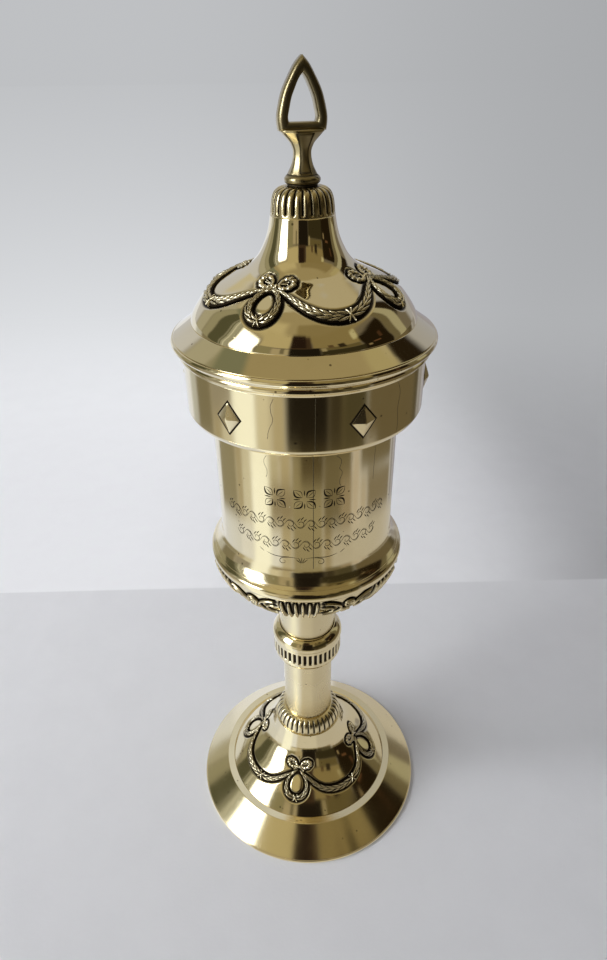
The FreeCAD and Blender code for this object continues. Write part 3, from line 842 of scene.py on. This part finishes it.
cap_share = band_between(229.5, 236.0, 0.4)
gadroon("lid_cap_gadroon", [(1.7, 228.7), (8.42, 228.7), *bend([
    (8.4, 228.9), (8.3, 230.2), (8.1, 231.8), (7.7, 233.3), (7.0, 234.4), (6.0, 235.0), (4.9, 235.3)]),
    (1.7, 235.3)], 22, 0.75, WORN, "lid", "lid_cap",
        lambda r, z: cap_share(z) * float(np.clip((r - 4.6) / 1.0, 0, 1)))
# the collar under the finial's foot is painted dark all over as shade
spun("finial_collar", [(1.7, 235.3), (3.9, 235.3), (3.9, 235.9), (1.7, 235.9)], CAST, "lid",
     "finial_seat", cols=96, patina_and_shade=lambda r, z: np.full(len(r), 0.95))


def finial():
    """The cast finial: a turned foot, an eight-sided waist and a pointed loop with chamfered edges."""
    turn = math.radians(15.0)
    points, faces, shade = [], [], []

    def add(pts, quad, dark, tri=None):
        start = sum(len(p) for p in points)
        points.append(np.asarray(pts, float).reshape(-1, 3))
        faces.append(np.asarray(quad) + start)
        if tri is not None:
            faces.append(np.asarray(tri) + start)
        shade.append(np.asarray(dark, float).ravel())

    # foot and waist, from a round base to an eight-sided flare
    # the foot's underside and its join to the waist are painted dark as shade; the waist's eight edges are
    # darkened
    rows = [(0.4, 235.9, 0, 1), (4.2, 235.9, 0, 1), (4.45, 236.1, 0, .6), (4.65, 236.6, 0, 0),
            (4.6, 237.1, 0, 0), (4.3, 237.5, 0, 0), (4.0, 237.75, 0, .5), (3.65, 237.95, .4, 1.0)]
    waist = spline([(3.5, 238.1), (2.75, 239.6), (2.25, 241.4), (2.15, 242.6), (2.35, 244.2), (3.1, 246.2),
                    (3.6, 247.5)], 0.3)
    rows += [(float(r), float(z), 1.0, 0.0) for r, z in waist]
    rows += [(3.4, 247.9, 1.0, 0.0), (0.4, 247.9, 1.0, 0.0)]
    cols = 96
    az = round_azimuths(cols)
    corner = np.abs(((az + math.pi / 8) % (math.pi / 4)) - math.pi / 8)
    facet = np.cos(math.pi / 8) / np.cos(np.minimum(corner, math.pi / 8))
    facet = 1.045 * facet / facet.mean()
    on_edge = np.clip((corner - math.radians(16.5)) / math.radians(2.5), 0, 1)
    grid, dark = [], []
    for r, z, eight, d in rows:
        rad = r * (1 + eight * (facet - 1)) - 0.10 * eight * on_edge * (r > 0.5)
        spread = np.interp(z, [243.2, 245.0, 246.2, 247.2, 247.9], [1.0, 1.12, 1.30, 1.44, 1.55])
        grid.append(np.stack([spread * rad * np.sin(az), -rad * np.cos(az), np.full(cols, z)], -1))
        dark.append(np.maximum(d, 0.65 * eight * on_edge * (238.4 < z < 247.2)))
    add(np.array(grid), quads(len(rows), cols), np.array(dark))

    # the loop: outer and inner arches, joined by chamfers front and back
    def arch(half, bottom, shoulder, apex, n=60):
        rise = apex - shoulder
        side = spline([(half * 0.95, bottom), (half, shoulder), (half * 0.93, shoulder + 0.20 * rise),
                       (half * 0.765, shoulder + 0.456 * rise), (half * 0.48, shoulder + 0.709 * rise),
                       (half * 0.24, shoulder + 0.886 * rise), (0.0, apex)], 0.2)
        t = np.linspace(0, len(side) - 1, n)
        x = np.interp(t, range(len(side)), side[:, 0])
        z = np.interp(t, range(len(side)), side[:, 1])
        k = np.linspace(-0.92, 0.92, 24)
        base = np.c_[k * half * 0.95, np.full(24, bottom)]
        return np.vstack([np.c_[x, z], np.c_[-x, z][::-1][1:], base])

    outer, inner = arch(6.15, 247.6, 250.2, 263.1), arch(3.6, 249.5, 250.1, 259.5)
    # share of the way from the outer arch to the inner, depth from the middle plane, patina
    n = len(outer)
    face = [(0.0, 1.1, 0.0), (0.16, 1.75, 0.1), (0.30, 1.98, 0.40), (0.55, 2.0, 0.62), (0.80, 1.92, 0.55),
            (0.93, 1.6, 0.15), (1.0, 1.0, 0.1)]
    back = [(share, -depth, d) for share, depth, d in face[::-1]]
    levels = [(0.0, 0.0, 0.0), *face, (1.0, 0.0, 0.0), *back]
    ring, dark = [], []
    for share, depth, d in levels:
        xz = outer * (1 - share) + inner * share
        ring.append(np.stack([xz[:, 0], np.full(n, -depth), xz[:, 1]], -1))
        dark.append(np.full(n, d))
    add(np.array(ring), quads(len(levels), n), np.array(dark))

    # the raised panel that runs down the front and back of the waist
    for way in (-1, 1):
        t = np.linspace(0, 1, 17)
        half = np.interp(t, [0, .35, .6, 1], [1.30, 0.78, 0.86, 1.90])
        z = 238.3 + t * 8.9
        front = np.interp(z, waist[:, 1], waist[:, 0]) * 0.985
        # the ground at the panel's edges is painted dark as shade
        across = np.array([(-1.25, -0.3, 1.0), (-1.2, 0.02, 1.0), (-1.0, 0.08, 0.8), (-0.8, 0.26, 0.3),
                           (0.8, 0.26, 0.3), (1.0, 0.08, 0.8), (1.2, 0.02, 1.0), (1.25, -0.3, 1.0)])
        panel = [np.stack([k * half, -(front + lift) * way, z], -1) for k, lift, _ in across]
        side = np.arange(1, 7)
        ends = np.concatenate([np.c_[0 * side, side, side + 1] * 17,
                               np.c_[0 * side, side + 1, side] * 17 + 16])
        add(np.array(panel), quads(8, 17, wrap_cols=False, flip=way > 0), np.repeat(across[:, 2], 17),
            ends[:, ::-way])

    x, y, z = np.concatenate(points).T
    pts = np.c_[x * math.cos(turn) - y * math.sin(turn), x * math.sin(turn) + y * math.cos(turn), z]
    make("finial_loop", pts, faces, AGED, "lid", ["finial"], np.concatenate(shade))


finial()

# ---- carried-over CAD parts

for finish, slot, nodes in ((INSIDE, "plain_brass", ("foot_washer", "rod_boss", "cap_washer")),
                            (SATIN, "plain_brass", ("lid_bezel",)),
                            (STEEL, "steel", ("clamp_nut", "tie_rod", "finial_nut", "finial_screw"))):
    for node in nodes:
        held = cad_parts[node]
        held.data.materials.clear()
        held.data.materials.append(finish)

# ---- stage

# A painted reflection of the floor: glowing patches that glossy rays see in place of the lit paper, which
# the camera doesn't see. Patches laid in order: (azimuth from, to, distance from, to in mm, colour)
REFLECTED_PAPER_LEFT, REFLECTED_PAPER_RIGHT = (0.80, 0.84, 0.95), (0.50, 0.48, 0.45)
REFLECTED_TABLE, REFLECTED_DARK_FRONT = (0.30, 0.265, 0.17), (0.015, 0.012, 0.008)
FAR = 9e4
PALE = (0.980, 1.0, 1.030)
PAINTED_FLOOR_REFLECTION = [
    (-131, -90, 0, 225, (0.70, 0.74, 0.84)),
    (-131, -119, 350, FAR, (0.50, 0.52, 0.53)),
    (-131, -92, 225, 350, (0.29, 0.27, 0.20)),
    (-119, -92, 350, FAR, (0.22, 0.20, 0.14)),
    (-94, -80, 225, FAR, (0.42, 0.38, 0.28)),
    (-94, -68, 400, FAR, (0.32, 0.30, 0.26)),
    (-82, -68, 225, 400, (0.64, 0.63, 0.56)),
    (-68, -44, 0, FAR, (1.06, 1.12, 1.15)),
    (-44, -31, 222, FAR, (0.52, 0.49, 0.38)),
    (-44, -31, 340, FAR, (0.67, 0.64, 0.53)),
    (-31, -17, 190, FAR, (0.46, 0.41, 0.29)),
    (-31, 30, 0, 185, (0.60, 0.58, 0.54)),
    (-42, -12, 232, 280, (0.27, 0.23, 0.16)),
    (-17, 21, 180, FAR, REFLECTED_TABLE),
    (21, 165, 0, 232, REFLECTED_PAPER_RIGHT),
    (21, 31, 190, FAR, (0.33, 0.28, 0.18)),
    (21, 57, 225, FAR, (0.16, 0.135, 0.08)),
    (42, 57, 225, 290, (0.30, 0.25, 0.18)),
    (57, 68, 225, 340, (0.49, 0.44, 0.39)),
    (68, 80, 225, 283, (0.45, 0.41, 0.36)),
    (80, 130, 228, 290, (0.22, 0.19, 0.14)),
    (68, 130, 290, FAR, (0.16, 0.135, 0.085)),
    (-6, 21, 280, FAR, (0.09, 0.07, 0.035)),
    (57, 120, 345, FAR, (0.135, 0.11, 0.065)),
    (120, 131, 345, FAR, (0.09, 0.075, 0.045)),
    (21, 34, 335, FAR, (0.045, 0.036, 0.02)),
    (34, 57, 335, FAR, (0.07, 0.06, 0.032)),
    (-17, 21, 338, FAR, REFLECTED_DARK_FRONT),
    (131, 143, 225, FAR, (0.28, 0.27, 0.28)),
    (143, 170, 225, FAR, (0.34, 0.33, 0.37)),
]


def painted_far_light(n, across, down):
    """Painted light for the paper's far end and the background: brighter on the left, as if lit from there,
    and dimmer with distance from the cup.
    """
    top = n.ramp(across, -0.25, 0.50, 0.530, 0.395)
    gain = n.times(n.ramp(across, -0.45, 0.45, 0.62, 0.14), down)
    return n.mix(n.math("ADD", top, gain), (0, 0, 0), PALE)


def floor_material():
    """Matt white paper with painted light: brighter on the left and behind the cup. Glossy rays see the
    painted reflection PAINTED_FLOOR_REFLECTION in its place, and its far end gives off painted light of its
    own, to run into the background."""
    material, n = new_material("paper")
    position = n.new("TexCoord").outputs["Object"]
    axes = n.new("SeparateXYZ", {"Vector": position})
    x, y = axes.outputs["X"], axes.outputs["Y"]
    # painted light on the paper: brighter on the left, where the window light falls, and a step in tone
    # behind the cup, lighter on the left and darker on the right
    behind = n.ramp(n.math("SUBTRACT", y, n.times(x, 0.0141)), 0.1145, 0.1165)
    near = n.times(n.ramp(x, -0.30, 0.28, 0.82, 0.55), n.ramp(y, -0.13, 0.09, 1.0, 1.10))
    side = n.math("ADD", n.ramp(x, -0.32, 0.10, 0.24, 0.11), n.ramp(x, 0.08, 0.20, 0.0, -0.27))
    tone = n.mix(n.math("ADD", near, n.times(behind, side)), (0, 0, 0), (1, 1, 1))
    grain = n.ramp(n.noise(position, 45.0, 5.0, 0.6), 0.3, 0.7)
    white = n.mix(grain, (0.985, 0.978, 0.985), (1.01, 1.003, 1.01))
    paper = n.new("Mix", {"Factor": 1.0, 6: tone, 7: white}, data_type="RGBA",
                  blend_type="MULTIPLY")
    distance = n.new("VectorMath", {0: position}, operation="LENGTH").outputs["Value"]
    far, azimuth = n.times(distance, 1000.0), n.azimuth(x, y)
    azimuth_edge, distance_edge = 4, 13
    seen = REFLECTED_PAPER_LEFT
    for az0, az1, near_mm, far_mm, colour in PAINTED_FLOOR_REFLECTION:
        inside = n.times(n.between(azimuth, az0, az1, azimuth_edge),
                         n.between(far, near_mm, far_mm, distance_edge))
        seen = n.mix(inside, seen, colour)
    bump = n.new("Bump", {"Height": n.noise(position, 900.0, 3.0), "Distance": 0.0002,
                                    "Strength": 0.2})
    shader = n.new("BsdfDiffuse", {"Color": paper.outputs[2], "Normal": bump.outputs["Normal"]})
    painted_reflection = n.new("Emission", {"Color": seen, "Strength": 1.0})
    # the paper's far end glows with painted light, fading in from y 0.20 to 0.62 m
    away = n.math("MAXIMUM", distance, 0.05)
    painted_far_glow_colour = painted_far_light(n, n.math("DIVIDE", x, away), n.math("DIVIDE", 0.22, away))
    painted_far_glow = n.new("Emission", {"Color": painted_far_glow_colour, "Strength": 1.0})
    shown = n.new("MixShader", {0: n.ramp(y, 0.20, 0.62), 1: shader.outputs[0], 2: painted_far_glow.outputs[0]})
    # glossy rays see the painted reflection, not the paper
    glossy = n.new("LightPath").outputs["Is Glossy Ray"]
    both = n.new("MixShader", {0: glossy, 1: shown.outputs[0], 2: painted_reflection.outputs[0]})
    n.new("OutputMaterial", {"Surface": both.outputs[0]})
    return material


REACH, BELOW = 14.0, -0.0002     # the floor's half side and its height, in metres
floor_mesh = bpy.data.meshes.new("floor")
floor_mesh.from_pydata([(-REACH, -REACH, BELOW), (REACH, -REACH, BELOW), (REACH, REACH, BELOW),
                        (-REACH, REACH, BELOW)], [], [(0, 1, 2, 3)])
floor_mesh.materials.append(floor_material())
floor = bpy.data.objects.new("floor", floor_mesh)
bpy.context.scene.collection.objects.link(floor)


# A painted reflection of a room, which only glossy rays see: light and dark patches laid in order:
# (azimuth from, to, elevation from, to, softness in degrees, colour)
PAINTED_ROOM_REFLECTION = [
    (-300, 300, 45, 95, 8, (0.33, 0.28, 0.165)),
    (-86, -26, 42, 65, 14, (0.49, 0.43, 0.26)),
    (-10, 94, 44, 64, 8, (0.235, 0.19, 0.095)),
    (-122, -98, 44, 62, 5, (0.19, 0.20, 0.14)),
    (104, 122, 44, 60, 6, (0.39, 0.345, 0.20)),
    (-300, -134, -90, 40, 8, (0.56, 0.58, 0.66)),
    (-134, -119, -90, 46, 5, (0.40, 0.39, 0.32)),
    (-119, -107, -90, 46, 5, (0.30, 0.29, 0.21)),
    (-107, -91, -90, 46, 3, (0.085, 0.085, 0.05)),
    (-91, -79, -90, 46, 4, (0.34, 0.34, 0.28)),
    (-90, -88.5, -10, 44, 1, (0.12, 0.12, 0.07)),
    (-86, -84.5, -10, 44, 1, (0.60, 0.60, 0.52)),
    (-49, -16, 30, 50, 5, (0.46, 0.40, 0.235)),
    (-49, -33, -90, 30, 5, (0.24, 0.22, 0.13)),
    (-33, -15, -90, 27, 4, (0.38, 0.33, 0.22)),
    (-24, -20, 10, 30, 2, (0.16, 0.14, 0.09)),
    (9, 64, 30, 50, 4, (0.225, 0.18, 0.085)),
    (-15, 16, -90, 31, 4, (0.012, 0.009, 0.006)),
    (-15, 8, 29, 50, 4, (0.045, 0.028, 0.016)),
    (-14, 2, 33, 51, 3, (0.018, 0.010, 0.007)),
    (16, 64, -90, 19, 5, (0.032, 0.026, 0.012)),
    (16, 60, 19, 30, 4, (0.115, 0.092, 0.04)),
    (17, 22, 16, 29, 2, (0.27, 0.23, 0.14)),
    (25, 31, 29, 37, 2, (0.09, 0.06, 0.03)),
    (36, 44, 26, 37, 3, (0.025, 0.018, 0.01)),
    (56, 63, 37, 44, 3, (0.46, 0.43, 0.27)),
    (62, 97, -90, 38, 4, (0.014, 0.009, 0.004)),
    (97, 107, -90, 44, 4, (0.14, 0.12, 0.07)),
    (107, 119, -90, 44, 3, (0.36, 0.345, 0.25)),
    (119, 134, -90, 45, 3, (0.16, 0.14, 0.11)),
    (119, 136, 18, 46, 3, (0.018, 0.012, 0.006)),
    (134, 300, -90, 44, 7, (0.38, 0.39, 0.45)),
    (150, 200, 26, 50, 6, (0.56, 0.53, 0.42)),
    (-200, -150, 26, 50, 6, (0.56, 0.53, 0.42)),
    (118, 300, 46, 80, 8, (0.44, 0.40, 0.30)),
    (-300, -122, 46, 80, 8, (0.48, 0.45, 0.35)),
    (158, 200, 49, 62, 5, (0.44, 0.45, 0.475)),
    (-200, -158, 49, 62, 5, (0.66, 0.69, 0.74)),
    (-75, -54, 4, 38, 9, (9.0, 9.5, 10.0)),
    (-66.0, -64.6, 3, 40, 0.6, (1.4, 1.4, 1.3)),
    (-80, -50, 28.4, 29.4, 0.5, (1.6, 1.6, 1.5)),
    (66, 70, 10, 16, 2, (0.22, 0.17, 0.10)),
    (73, 82, 17, 20, 2, (0.12, 0.06, 0.03)),
    (84, 88, 24, 30, 2, (0.06, 0.03, 0.015)),
]


def room():
    """Glossy rays see the painted reflection PAINTED_ROOM_REFLECTION, diffuse rays dim light and a window on
    the left, and the camera a pale background with painted light, brighter on the left."""
    world = bpy.data.worlds.new("room")
    bpy.context.scene.world = world
    world.use_nodes = True
    n = Nodes(world.node_tree)
    way = n.new("TexCoord").outputs["Generated"]
    axes = n.new("SeparateXYZ", {"Vector": way})
    azimuth = n.azimuth(axes.outputs["X"], axes.outputs["Y"])
    elevation = n.times(n.math("ARCSINE", axes.outputs["Z"]), DEGREE)
    light = (0.15, 0.13, 0.10)
    for az0, az1, el0, el1, soft, colour in PAINTED_ROOM_REFLECTION:
        inside = n.times(n.between(azimuth, az0, az1, soft / 2), n.between(elevation, el0, el1, soft / 2))
        light = n.mix(inside, light, colour)
    window = n.times(n.between(azimuth, -92, -50, 6),
                     n.times(n.ramp(elevation, 3, 9), n.ramp(elevation, 40, 50, 1.0, 0.0)))
    path = n.new("LightPath").outputs
    diffuse = n.mix(window, (0.32, 0.32, 0.335), (11.8, 12.0, 12.5))
    light = n.mix(path["Is Diffuse Ray"], light, diffuse)
    shown = n.mix(path["Is Camera Ray"], light, painted_far_light(n, axes.outputs["X"], 0.0))
    background = n.new("Background", {"Color": shown, "Strength": 1.0})
    n.new("OutputWorld", {"Surface": background.outputs["Background"]})


room()

LENS_MM, SENSOR_MM, NEAR_M, FAR_M = 24.5625, 36.0, 0.01, 60.0
STAND = (-0.000925, -0.17995, 0.26077)      # metres
PAN, TILT, ROLL = (math.radians(angle) for angle in (-0.076, 57.713, -0.729))
camera_data = bpy.data.cameras.new("camera")
camera_data.lens, camera_data.sensor_width = LENS_MM, SENSOR_MM
camera_data.clip_start, camera_data.clip_end = NEAR_M, FAR_M
camera = bpy.data.objects.new("camera", camera_data)
camera.matrix_world = (Matrix.Translation(STAND) @ Matrix.Rotation(PAN, 4, "Z")
                       @ Matrix.Rotation(TILT, 4, "X") @ Matrix.Rotation(ROLL, 4, "Z"))
bpy.context.scene.collection.objects.link(camera)
bpy.context.scene.camera = camera
bpy.context.scene.view_settings.view_transform = "Standard"
